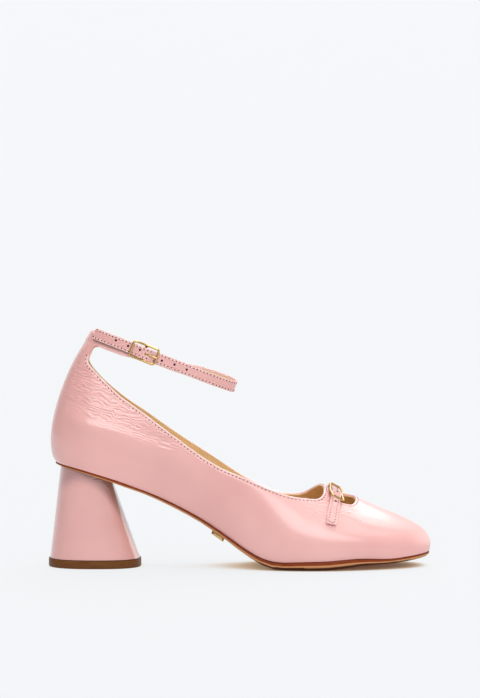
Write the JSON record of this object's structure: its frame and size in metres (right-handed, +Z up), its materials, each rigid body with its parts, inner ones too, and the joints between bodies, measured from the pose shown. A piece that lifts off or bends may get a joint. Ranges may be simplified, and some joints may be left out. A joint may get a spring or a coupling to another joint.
{
  "type": "block heel pump",
  "caption": "Pink leather pump with a flared block heel, a tall back counter, a buckled ankle strap, and a small buckled strap over a keyhole vamp.",
  "frame": {"origin": "middle of the shoe's box, on the floor plane under the heel tip and the forefoot", "axes": "+X towards the toe, +Y towards the inner side of the foot, +Z up"},
  "size_m": [0.2366, 0.0752, 0.1471],
  "materials": {
    "pink_leather": "glossy crinkled leather",
    "sole_leather": "smooth waxed sole leather",
    "tip_rubber": "hard matt rubber",
    "sock_leather": "matt lining leather",
    "pale_gold": "polished pale gold plating"
  },
  "bodies": {
    "root": {"outsole": "sole_leather", "insole": "sock_leather", "heel": "pink_leather", "heel_tip": "tip_rubber", "upper": "pink_leather", "ankle_strap": "pink_leather", "ankle_buckle": "pale_gold", "ankle_prong": "pale_gold", "vamp_strap": "pink_leather", "vamp_buckle": "pale_gold", "sole_plate": "pale_gold"}
  },
  "joints": []
}
